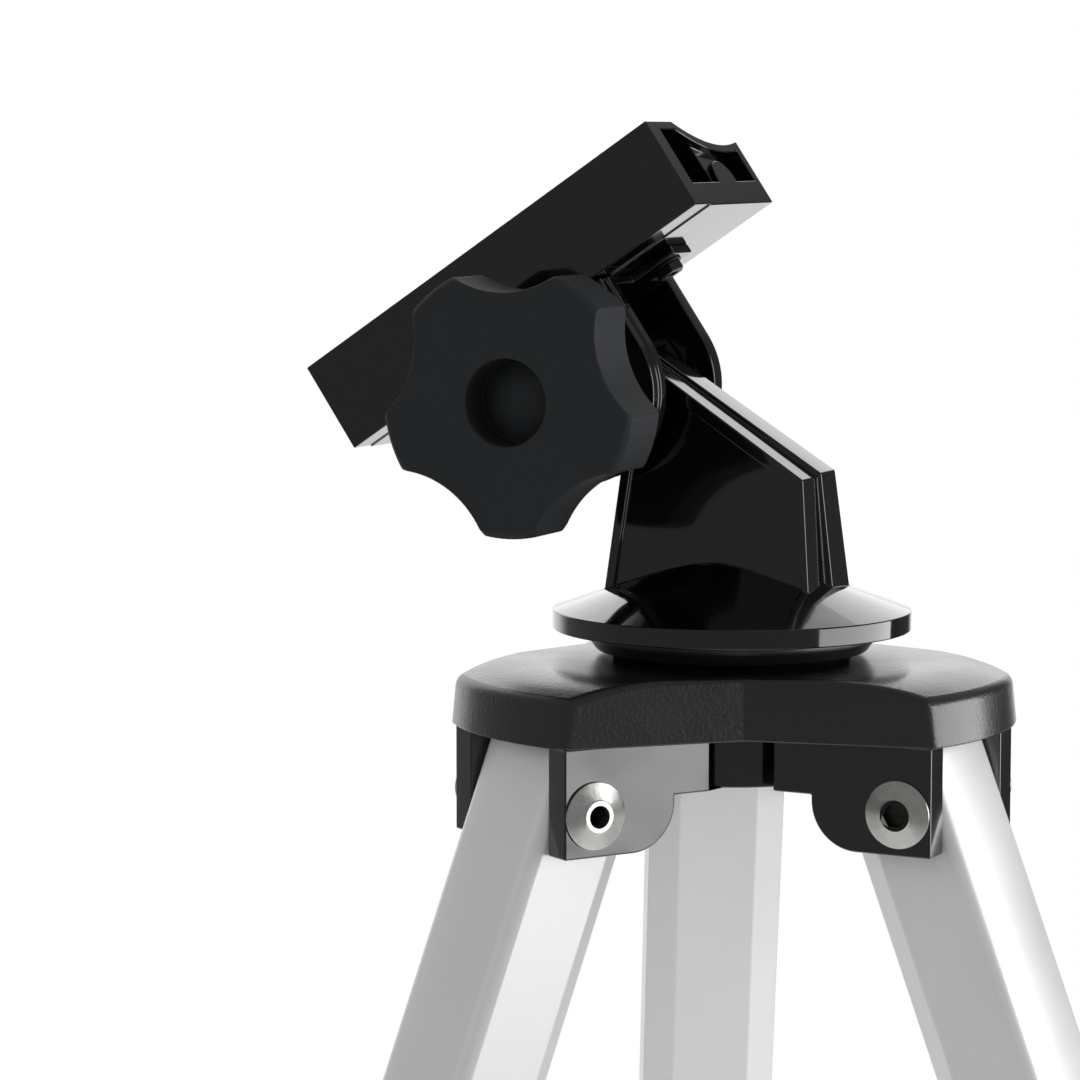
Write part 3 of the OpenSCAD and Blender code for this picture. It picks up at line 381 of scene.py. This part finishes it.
def settle(piece: bpy.types.Object) -> bpy.types.Mesh:
    """Turns an object with modifiers into a plain mesh and removes the object.

    Args:
        piece: the object.

    Returns:
        Its evaluated mesh.
    """
    graph = bpy.context.evaluated_depsgraph_get()
    mesh = bpy.data.meshes.new_from_object(piece.evaluated_get(graph))
    old = piece.data
    bpy.data.objects.remove(piece)
    if isinstance(old, bpy.types.Mesh):
        bpy.data.meshes.remove(old)
    return mesh


def round_edges(shape: bmesh.types.BMesh, edges: list[bmesh.types.BMEdge], width: float, steps: int) -> None:
    """Rounds edges of a shape.

    Args:
        shape: the shape.
        edges: the edges.
        width: width of the rounding in millimetres.
        steps: segments across the rounding.
    """
    bmesh.ops.bevel(
        shape, geom=edges, offset=width * MM, offset_type="OFFSET", segments=steps, profile=0.5,
        affect="EDGES", clamp_overlap=False,
    )
    bmesh.ops.remove_doubles(shape, verts=shape.verts, dist=SAME_ROUNDED_POINT)


def softened(
    node: str, edge: float, steps: int = 2, sharp: float = SHARP_EDGE, wide: Wide | None = None
) -> bpy.types.Mesh:
    """A CAD node's shape with its sharp edges rounded.

    Args:
        node: name of the node.
        edge: width of the rounding in millimetres.
        steps: segments across the rounding.
        sharp: angle in degrees above which an edge is rounded.
        wide: edges that get a wider rounding first.

    Returns:
        The rounded mesh, in place.
    """
    shape = bmesh.new()
    shape.from_mesh(frame["nodes"][node].data)
    bmesh.ops.remove_doubles(shape, verts=shape.verts, dist=SAME_POINT)
    bmesh.ops.dissolve_limit(shape, angle_limit=math.radians(FLAT_LIMIT), verts=shape.verts, edges=shape.edges)
    if wide is not None:
        round_edges(shape, [e for e in shape.edges if e.is_manifold and wide.takes(e)], wide.width, wide.steps)
    edges = [e for e in shape.edges if e.is_manifold and e.calc_face_angle() > math.radians(sharp)]
    round_edges(shape, edges, edge, steps)
    low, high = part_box(node)
    for point in shape.verts:
        point.co = Vector(min(max(value, least), most) for value, least, most in zip(point.co, low, high))
    mesh = bpy.data.meshes.new(f"{node}_soft")
    shape.to_mesh(mesh)
    shape.free()
    return smoothed(mesh, SMOOTH_LIMIT)


def smoothed(mesh: bpy.types.Mesh, limit: float) -> bpy.types.Mesh:
    """Shades a mesh smooth below an angle, with its flat faces kept flat.

    Args:
        mesh: the mesh.
        limit: angle in degrees above which an edge stays sharp.

    Returns:
        The shaded mesh.
    """
    mesh.shade_smooth()
    mesh.set_sharp_from_angle(angle=math.radians(limit))
    holder = bpy.data.objects.new("shading", mesh)
    bpy.context.scene.collection.objects.link(holder)
    weighted = holder.modifiers.new("weighted", "WEIGHTED_NORMAL")
    weighted.keep_sharp = True
    return settle(holder)


def dress(node: str, finish: Finish, edge: float, steps: int = 2, sharp: float = SHARP_EDGE) -> bpy.types.Object:
    """Replaces a CAD node by its softened shape in a finish.

    Args:
        node: name of the node.
        finish: its finish.
        edge: width of the rounding in millimetres.
        steps: segments across the rounding.
        sharp: angle in degrees above which an edge is rounded.

    Returns:
        The piece that stands for the node.
    """
    body = next(body for body, nodes in frame["record"]["behaviour"]["bodies"].items() if node in nodes)
    piece = place_piece(f"{node}_dressed", softened(node, edge, steps, sharp), body, finish)
    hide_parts(node)
    return piece


@dataclass
class NodeTree:
    """A geometry node tree that is built step by step."""

    name: str
    group: bpy.types.NodeTree = field(init=False)
    start: bpy.types.Node = field(init=False)

    def __post_init__(self) -> None:
        """Makes the empty tree."""
        self.group = bpy.data.node_groups.new(self.name, "GeometryNodeTree")
        self.group.interface.new_socket("Geometry", in_out="INPUT", socket_type="NodeSocketGeometry")
        self.group.interface.new_socket("Geometry", in_out="OUTPUT", socket_type="NodeSocketGeometry")
        self.start = self.group.nodes.new("NodeGroupInput")

    def size(self, name: str, kind: str = "NodeSocketFloat") -> bpy.types.NodeSocket:
        """Adds a named input and returns its socket inside the tree."""
        self.group.interface.new_socket(name, in_out="INPUT", socket_type=kind)
        return self.start.outputs[name]

    def add(
        self, kind: str, links: dict[str, bpy.types.NodeSocket], values: dict[str, object] | None = None
    ) -> bpy.types.Node:
        """Adds a node.

        Args:
            kind: type of the node.
            links: what its inputs are linked to, by socket name.
            values: values of its other inputs, by socket name.

        Returns:
            The node.
        """
        node = self.group.nodes.new(kind)
        for key, value in (values or {}).items():
            node.inputs[key].default_value = value
        for key, source in links.items():
            self.group.links.new(source, node.inputs[key])
        return node

    def close(self, shape: bpy.types.NodeSocket, material: bpy.types.NodeSocket) -> None:
        """Ends the tree in real geometry with a material.

        Args:
            shape: the geometry.
            material: the input that holds the material.
        """
        real = self.add("GeometryNodeRealizeInstances", {"Geometry": shape})
        coated = self.add("GeometryNodeSetMaterial", {"Geometry": real.outputs["Geometry"], "Material": material})
        self.add("NodeGroupOutput", {"Geometry": coated.outputs["Geometry"]})

    def build(self, path: bpy.types.Mesh, inputs: dict[str, object]) -> bpy.types.Mesh:
        """Runs the tree with its inputs.

        Args:
            path: the mesh that it starts from.
            inputs: value of each input by its name.

        Returns:
            The finished mesh.
        """
        holder = bpy.data.objects.new(self.name, path)
        bpy.context.scene.collection.objects.link(holder)
        maker = holder.modifiers.new(self.name, "NODES")
        maker.node_group = self.group
        for item in self.group.interface.items_tree:
            if item.in_out == "INPUT" and item.name in inputs:
                maker[item.identifier] = inputs[item.name]
        return settle(holder)


def bead_tree() -> NodeTree:
    """Tree that repeats a round bead, which follows an outline, along a leg.

    Returns:
        The tree, with inputs Bead, Pitch, Count, Start and Material.
    """
    tree = NodeTree("bead_row")
    bead, pitch, first = tree.size("Bead"), tree.size("Pitch"), tree.size("Start")
    count = tree.size("Count", "NodeSocketInt")
    material = tree.size("Material", "NodeSocketMaterial")
    step = tree.add("ShaderNodeCombineXYZ", {"Z": pitch})
    start = tree.add("ShaderNodeCombineXYZ", {"Z": first})
    row = tree.add(
        "GeometryNodeMeshLine",
        {"Count": count, "Offset": step.outputs["Vector"], "Start Location": start.outputs["Vector"]},
    )
    path = tree.add("GeometryNodeMeshToCurve", {"Mesh": tree.start.outputs["Geometry"]})
    profile = tree.add("GeometryNodeCurvePrimitiveCircle", {"Radius": bead}, {"Resolution": BEAD_SIDES})
    band = tree.add(
        "GeometryNodeCurveToMesh", {"Curve": path.outputs["Curve"], "Profile Curve": profile.outputs["Curve"]}
    )
    spread = tree.add(
        "GeometryNodeInstanceOnPoints", {"Points": row.outputs["Mesh"], "Instance": band.outputs["Mesh"]}
    )
    tree.close(spread.outputs["Instances"], material)
    return tree


@dataclass(frozen=True)
class Section:
    """Outline of a leg's section: crowned outside, chamfered inside, in millimetres."""

    half: float
    front: float
    back: float
    chamfer: float
    corner: float
    crown: float = 0.7
    half_steps: int = 4
    corner_step: int = 15

    def outline(self) -> list[tuple[float, float]]:
        """Points of the outline, in order round the leg."""
        flat = self.half - self.corner
        right = [
            (self.front - self.corner + self.corner * math.cos(turn), -flat + self.corner * math.sin(turn))
            for turn in (math.radians(angle) for angle in range(-90, 1, self.corner_step))
        ]
        shares = (step / self.half_steps - 1 for step in range(1, 2 * self.half_steps))
        bow = [(self.front + self.crown * (1 - share**2), flat * share) for share in shares]
        left = [(x, -y) for x, y in reversed(right)]
        heel = [(self.chamfer - self.back, self.half), (-self.back, self.half - self.chamfer)]
        return [(x, -y) for x, y in reversed(heel)] + right + bow + left + heel

    def mesh(self) -> bpy.types.Mesh:
        """The outline as a closed line, in metres."""
        points = [(x * MM, y * MM, 0.0) for x, y in self.outline()]
        line = bpy.data.meshes.new("outline")
        line.from_pydata(points, [(i, (i + 1) % len(points)) for i in range(len(points))], [])
        return line


@dataclass(frozen=True)
class Beads:
    """A row of beads round a leg, with lengths in millimetres down from the leg's hinge."""

    section: Section
    start: float
    pitch: float
    count: int
    bead: float

    def build(self, tree: NodeTree, finish: Finish, place: Matrix) -> bpy.types.Mesh:
        """Builds the row.

        Args:
            tree: the tree that makes it.
            finish: its finish.
            place: the leg's place and turn.

        Returns:
            The mesh, in place.
        """
        made = tree.build(
            self.section.mesh(),
            {
                "Bead": self.bead * MM, "Pitch": -self.pitch * MM, "Start": -self.start * MM,
                "Count": self.count, "Material": finish.material(),
            },
        )
        shape = bmesh.new()
        shape.from_mesh(made)
        bmesh.ops.remove_doubles(shape, verts=shape.verts, dist=SAME_BEAD_POINT)
        bmesh.ops.recalc_face_normals(shape, faces=shape.faces)
        bmesh.ops.transform(shape, matrix=place, verts=shape.verts)
        shape.to_mesh(made)
        shape.free()
        made.shade_smooth()
        return made


@dataclass
class TripodHead:
    """The hub that carries the turntable and the three legs, with heights in millimetres over its skirt."""

    edge: float = 0.4
    lobe_edge: float = 1.6
    lobe_steps: int = 4
    wall_foot: float = 0.5
    skirt_height: float = 654.4
    neck_radius: float = 33.0
    seat_radius: float = 30.6
    seat_top: float = 18.6
    seat_low: float = 15.3
    seat_stretch: float = 1.4
    seat_edge: float = 14.1
    stem_radius: float = 25.5
    crown_top: float = 13.3
    socket_radius: float = 2.7
    skirt_edge: float = 0.3
    hardware_edge: float = 0.1

    def build(self) -> None:
        """Builds the hub, its hinge hardware and the glide ring."""
        crown = Wide(self.lobe_edge, self.lobe_steps, self.skirt_height + self.wall_foot, self.neck_radius)
        shape = softened("tripod_head", self.edge, wide=crown)
        self._deepen_seat(shape)
        hub = place_piece("hub", shape, "tripod_head", HUB_PLASTIC)
        for finish in (CHEEK_PLASTIC, PAINTED_SHADE_PLASTIC, SEAT_PLASTIC_PAINTED_LIGHT):
            hub.data.materials.append(finish.material())
        # Each face gets the wall, cheek, painted-shade neck or partly painted-light seat finish by its place.
        for face in hub.data.polygons:
            face.material_index = self._area(face.center).value
        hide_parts("tripod_head")
        dress("leg_hinge_sleeves", ZINC_STEEL, self.hardware_edge)
        # The hinge screws' sockets get painted shade.
        self._paint_socket_shade(dress("leg_hinge_screws", ZINC_STEEL, self.hardware_edge))
        coat_node("turntable_glide", NYLON)

    def _area(self, place: Vector) -> HubArea:
        """Part of the hub that a place belongs to.

        Args:
            place: the middle of a face.

        Returns:
            The part.
        """
        height = place.z / MM - self.skirt_height
        reach = place.xy.length / MM
        if height < -self.skirt_edge:
            return HubArea.CHEEK
        # Neck faces above the crown get painted shade.
        if height > self.crown_top and reach < self.stem_radius:
            return HubArea.STEM_PAINTED_SHADE
        # Seat ring faces get the lighter tone, partly painted light.
        if height > self.seat_edge and reach < self.seat_radius:
            return HubArea.SEAT_WITH_PAINTED_LIGHT
        return HubArea.WALL

    def _deepen_seat(self, shape: bpy.types.Mesh) -> None:
        """Draws the seat ring's lower edge down towards the crown.

        Args:
            shape: the hub's mesh.
        """
        for point in shape.vertices:
            height = point.co.z / MM - self.skirt_height
            if self.seat_low < height < self.seat_top and point.co.xy.length < self.seat_radius * MM:
                point.co.z = (self.skirt_height + self.seat_top - (self.seat_top - height) * self.seat_stretch) * MM

    def _paint_socket_shade(self, screws: bpy.types.Object) -> None:
        """Paints shade into the hexagon sockets with the dark blackened-steel finish.

        Args:
            screws: the three hinge screws.
        """
        screws.data.materials.append(BLACKENED_STEEL_AND_SOCKET_SHADE.material())
        folds = [joint_record(f"leg_{number}_fold") for number in LEGS]
        axes = [(Vector(fold["pos_m"]), Vector(fold["axis"])) for fold in folds]
        for face in screws.data.polygons:
            away = min((face.center - place).cross(axis).length for place, axis in axes)
            # Faces inside the socket radius get the painted shade.
            face.material_index = int(away < self.socket_radius * MM)


@dataclass
class Turntable:
    """The turning disc with its arm and the azimuth bolt."""

    edge: float = 0.3
    washer_edge: float = 0.15

    def build(self) -> None:
        """Builds the arm and the hardware under it."""
        dress("turntable_arm", GLOSS_BLACK, self.edge)
        dress("azimuth_bolt", ZINC_STEEL, self.edge)
        dress("azimuth_washer", ZINC_STEEL, self.washer_edge)
        dress("azimuth_nut", ZINC_STEEL, self.edge)


@dataclass
class SaddleHead:
    """The saddle that carries the telescope tube, and its yoke."""

    edge: float = 0.25
    yoke_edge: float = 0.35
    axis_edge: float = 0.3
    bolt_edge: float = 0.2
    washer_edge: float = 0.1

    def build(self) -> None:
        """Builds the saddle, the yoke and the altitude axis."""
        dress("saddle", GLOSS_BLACK, self.edge)
        dress("yoke", PAINTED_STEEL, self.yoke_edge)
        dress("yoke_bolts", BLACKENED_STEEL_AND_SOCKET_SHADE, self.bolt_edge)
        dress("yoke_washers", BLACKENED_STEEL_AND_SOCKET_SHADE, self.washer_edge)
        dress("altitude_bolt", ZINC_STEEL, self.axis_edge)
        coat_node("friction_washers", PLAIN_BLACK)
        coat_node("knob_washer", ZINC_STEEL)


@dataclass
class AltitudeKnob:
    """The five-lobed knob that clamps the altitude axis."""

    edge: float = 0.5
    edge_steps: int = 3
    sharp: float = 24.0

    def build(self) -> None:
        """Builds the knob and its threaded insert."""
        dress("altitude_knob", KNOB_PLASTIC, self.edge, self.edge_steps, self.sharp)
        coat_node("knob_insert", BRASS)


@dataclass
class Leg:
    """One folding, sliding leg of the tripod."""

    number: int
    beads: NodeTree
    edge: float = 0.4
    inner_edge: float = 0.3
    grip_edge: float = 0.6
    screw_edge: float = 0.2
    collar_beads: Beads = Beads(
        Section(half=18.0, front=10.8, back=19.8, chamfer=8.2, corner=6.6), start=563.0, pitch=4.0, count=4, bead=0.7
    )
    foot_beads: Beads = Beads(
        Section(half=15.7, front=8.5, back=17.5, chamfer=6.8, corner=4.3), start=650.0, pitch=4.0, count=4, bead=0.7
    )

    def node(self, piece: str) -> str:
        """Name of one of the leg's nodes."""
        return f"leg_{self.number}_{piece}"

    def place(self) -> Matrix:
        """The leg's own axes: outwards, across and up along the tube, from its hinge.

        Returns:
            Their matrix.
        """
        up = -Vector(joint_record(self.node("extend"))["axis"])
        out = Vector(joint_record(self.node("lock_turn"))["axis"])
        axes = Matrix((out, up.cross(out), up)).transposed().to_4x4()
        return Matrix.Translation(joint_record(self.node("fold"))["pos_m"]) @ axes

    def build(self) -> None:
        """Builds the leg's tubes, its lock and its foot."""
        metal = anodised(self.number)
        dress(self.node("tube"), metal, self.edge)
        dress(self.node("plug"), PLAIN_BLACK, self.edge)
        dress(self.node("collar"), PLAIN_BLACK, self.grip_edge)
        dress(self.node("inner_tube"), metal, self.inner_edge)
        coat_node(self.node("glide"), NYLON)
        dress(self.node("foot"), RUBBER, self.grip_edge)
        dress(self.node("lock_knob"), KNOB_PLASTIC, self.edge)
        dress(self.node("lock_screw"), ZINC_STEEL, self.screw_edge)
        place = self.place()
        grip = self.collar_beads.build(self.beads, PLAIN_BLACK, place)
        place_piece(self.node("collar_beads"), grip, f"leg_{self.number}", PLAIN_BLACK)
        boot = self.foot_beads.build(self.beads, RUBBER, place)
        place_piece(self.node("foot_beads"), boot, f"leg_{self.number}_lower", RUBBER)


@dataclass
class Lamp:
    """A soft lamp aimed at the head, with angles in degrees, lengths in metres and power in watts."""

    role: Role
    bearing: float
    height: float
    reach: float
    width: float
    rise: float
    power: float
    mirrored: bool = True

    def build(self, target: Vector) -> None:
        """Hangs the lamp.

        Args:
            target: the point it shines on.
        """
        light = bpy.data.lights.new(f"lamp_{self.role.value}", "AREA")
        light.shape = "RECTANGLE"
        light.size = self.width
        light.size_y = self.rise
        light.energy = self.power
        lamp = bpy.data.objects.new(light.name, light)
        lamp.visible_camera = False
        lamp.visible_glossy = self.mirrored
        bpy.context.scene.collection.objects.link(lamp)
        angle, lift = math.radians(self.bearing), math.radians(self.height)
        away = Vector((math.cos(angle) * math.cos(lift), math.sin(angle) * math.cos(lift), math.sin(lift)))
        lamp.location = target + away * self.reach
        lamp.rotation_euler = away.to_track_quat("Z", "Y").to_euler()


@dataclass
class Studio:
    """Floor, backdrop, lamps and camera."""

    floor_radius: float = 1.75
    floor_fade: float = 0.7
    floor_sides: int = 96
    floor_roughness: float = 0.85
    pale: tuple[float, float, float, float] = (0.86, 0.86, 0.86, 1.0)
    white: tuple[float, float, float, float] = (1.0, 1.0, 1.0, 1.0)
    ambient: float = 0.5
    surround: float = 0.2
    gap_share: float = 0.3
    dark_side: tuple[float, float, float] = (70.0, 0.89, 0.95)
    bright_sides: tuple[tuple[float, float, float], ...] = ((150.0, 0.38, 0.54), (60.0, -0.25, 0.1))
    camera_place: tuple[float, float, float] = (0.2947, -0.7513, 0.7769)
    camera_turn: tuple[float, float, float] = (83.97, 0.0, 24.3)
    lens: float = 127.93
    sensor: float = 36.0
    lamps: tuple[Lamp, ...] = (
        Lamp(Role.KEY, bearing=20.0, height=2.0, reach=2.4, width=3.0, rise=1.5, power=44.0),
        Lamp(Role.FILL, bearing=236.0, height=20.0, reach=2.6, width=1.4, rise=1.4, power=10.0, mirrored=False),
        Lamp(Role.TOP, bearing=80.0, height=66.0, reach=2.2, width=2.0, rise=2.0, power=10.0, mirrored=False),
        Lamp(Role.BACK, bearing=110.0, height=20.0, reach=2.4, width=1.6, rise=1.2, power=1.9),
    )

    def build(self) -> None:
        """Builds the studio."""
        low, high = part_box("turntable_arm")
        target = (Vector(low) + Vector(high)) / 2
        for lamp in self.lamps:
            lamp.build(target)
        self._floor()
        self._world()
        self._camera()
        bpy.context.scene.view_settings.view_transform = "Standard"

    def _floor(self) -> None:
        """A round pale floor that fades into the white backdrop."""
        shape = bmesh.new()
        bmesh.ops.create_circle(shape, cap_ends=True, radius=self.floor_radius, segments=self.floor_sides)
        mesh = bpy.data.meshes.new("floor")
        shape.to_mesh(mesh)
        shape.free()
        floor = bpy.data.objects.new("floor", mesh)
        bpy.context.scene.collection.objects.link(floor)
        made = bpy.data.materials.new("pale_floor")
        made.use_nodes = True
        tree = made.node_tree
        shader = tree.nodes["Principled BSDF"]
        shader.inputs["Base Color"].default_value = self.pale
        shader.inputs["Roughness"].default_value = self.floor_roughness
        place = tree.nodes.new("ShaderNodeTexCoord")
        length = tree.nodes.new("ShaderNodeVectorMath")
        length.operation = "LENGTH"
        fade = tree.nodes.new("ShaderNodeMapRange")
        fade.interpolation_type = "SMOOTHSTEP"
        fade.inputs["From Min"].default_value = self.floor_fade
        fade.inputs["From Max"].default_value = self.floor_radius
        clear = tree.nodes.new("ShaderNodeBsdfTransparent")
        blend = tree.nodes.new("ShaderNodeMixShader")
        tree.links.new(place.outputs["Object"], length.inputs[0])
        tree.links.new(length.outputs["Value"], fade.inputs["Value"])
        tree.links.new(fade.outputs["Result"], blend.inputs["Fac"])
        tree.links.new(shader.outputs["BSDF"], blend.inputs[1])
        tree.links.new(clear.outputs["BSDF"], blend.inputs[2])
        tree.links.new(blend.outputs["Shader"], tree.nodes["Material Output"].inputs["Surface"])
        mesh.materials.append(made)

    def _world(self) -> None:
        """White backdrop for camera, gloss and glass, and plain soft ambient light."""
        world = bpy.data.worlds.new("studio")
        bpy.context.scene.world = world
        world.use_nodes = True
        tree = world.node_tree
        ambient = tree.nodes["Background"]
        ambient.inputs["Strength"].default_value = self.ambient
        ambient.inputs["Color"].default_value = self.white
        white = tree.nodes.new("ShaderNodeBackground")
        white.inputs["Color"].default_value = self.white
        mirror = tree.nodes.new("ShaderNodeBackground")
        mirror.inputs["Color"].default_value = self.white
        behind = tree.nodes.new("ShaderNodeMath")
        behind.operation = "MULTIPLY"
        for socket, side in zip(behind.inputs, self.bright_sides):
            tree.links.new(self._side(tree, *side), socket)
        band = tree.nodes.new("ShaderNodeMapRange")
        band.inputs["To Min"].default_value = self.surround
        band.inputs["To Max"].default_value = 1.0
        tree.links.new(behind.outputs["Value"], band.inputs["Value"])
        shade = tree.nodes.new("ShaderNodeMapRange")
        shade.inputs["To Min"].default_value = 1.0
        shade.inputs["To Max"].default_value = self.gap_share
        tree.links.new(self._side(tree, *self.dark_side), shade.inputs["Value"])
        total = tree.nodes.new("ShaderNodeMath")
        total.operation = "MULTIPLY"
        tree.links.new(band.outputs["Result"], total.inputs[0])
        tree.links.new(shade.outputs["Result"], total.inputs[1])
        tree.links.new(total.outputs["Value"], mirror.inputs["Strength"])
        rays = tree.nodes.new("ShaderNodeLightPath")
        seen = tree.nodes.new("ShaderNodeMath")
        seen.operation = "MAXIMUM"
        tree.links.new(rays.outputs["Is Camera Ray"], seen.inputs[0])
        tree.links.new(rays.outputs["Is Transmission Ray"], seen.inputs[1])
        first = tree.nodes.new("ShaderNodeMixShader")
        second = tree.nodes.new("ShaderNodeMixShader")
        tree.links.new(rays.outputs["Is Glossy Ray"], first.inputs["Fac"])
        tree.links.new(ambient.outputs["Background"], first.inputs[1])
        tree.links.new(mirror.outputs["Background"], first.inputs[2])
        tree.links.new(seen.outputs["Value"], second.inputs["Fac"])
        tree.links.new(first.outputs["Shader"], second.inputs[1])
        tree.links.new(white.outputs["Background"], second.inputs[2])
        tree.links.new(second.outputs["Shader"], tree.nodes["World Output"].inputs["Surface"])

    def _side(self, tree: bpy.types.NodeTree, bearing: float, low: float, high: float) -> bpy.types.NodeSocket:
        """Soft step that is 1 on the side of a bearing.

        Args:
            tree: the world's nodes.
            bearing: the bearing in degrees.
            low: share along the bearing where the step starts.
            high: share along the bearing where the step is full.

        Returns:
            The socket with the step.
        """
        place = tree.nodes.new("ShaderNodeTexCoord")
        facing = tree.nodes.new("ShaderNodeVectorMath")
        facing.operation = "DOT_PRODUCT"
        facing.inputs[1].default_value = (math.cos(math.radians(bearing)), math.sin(math.radians(bearing)), 0.0)
        tree.links.new(place.outputs["Generated"], facing.inputs[0])
        fade = tree.nodes.new("ShaderNodeMapRange")
        fade.interpolation_type = "SMOOTHSTEP"
        fade.inputs["From Min"].default_value = low
        fade.inputs["From Max"].default_value = high
        tree.links.new(facing.outputs["Value"], fade.inputs["Value"])
        return fade.outputs["Result"]

    def _camera(self) -> None:
        """The camera at the view's place and angle."""
        lens = bpy.data.cameras.new("camera")
        lens.lens = self.lens
        lens.sensor_width = self.sensor
        camera = bpy.data.objects.new("camera", lens)
        bpy.context.scene.collection.objects.link(camera)
        camera.location = self.camera_place
        camera.rotation_euler = tuple(math.radians(angle) for angle in self.camera_turn)
        bpy.context.scene.camera = camera


def main() -> None:
    """Builds the studio and every sub-assembly."""
    logging.basicConfig(level=logging.INFO, format="%(name)s: %(message)s")
    Studio().build()
    TripodHead().build()
    Turntable().build()
    SaddleHead().build()
    AltitudeKnob().build()
    beads = bead_tree()
    for number in LEGS:
        Leg(number, beads).build()


if __name__ == "__main__":
    main()
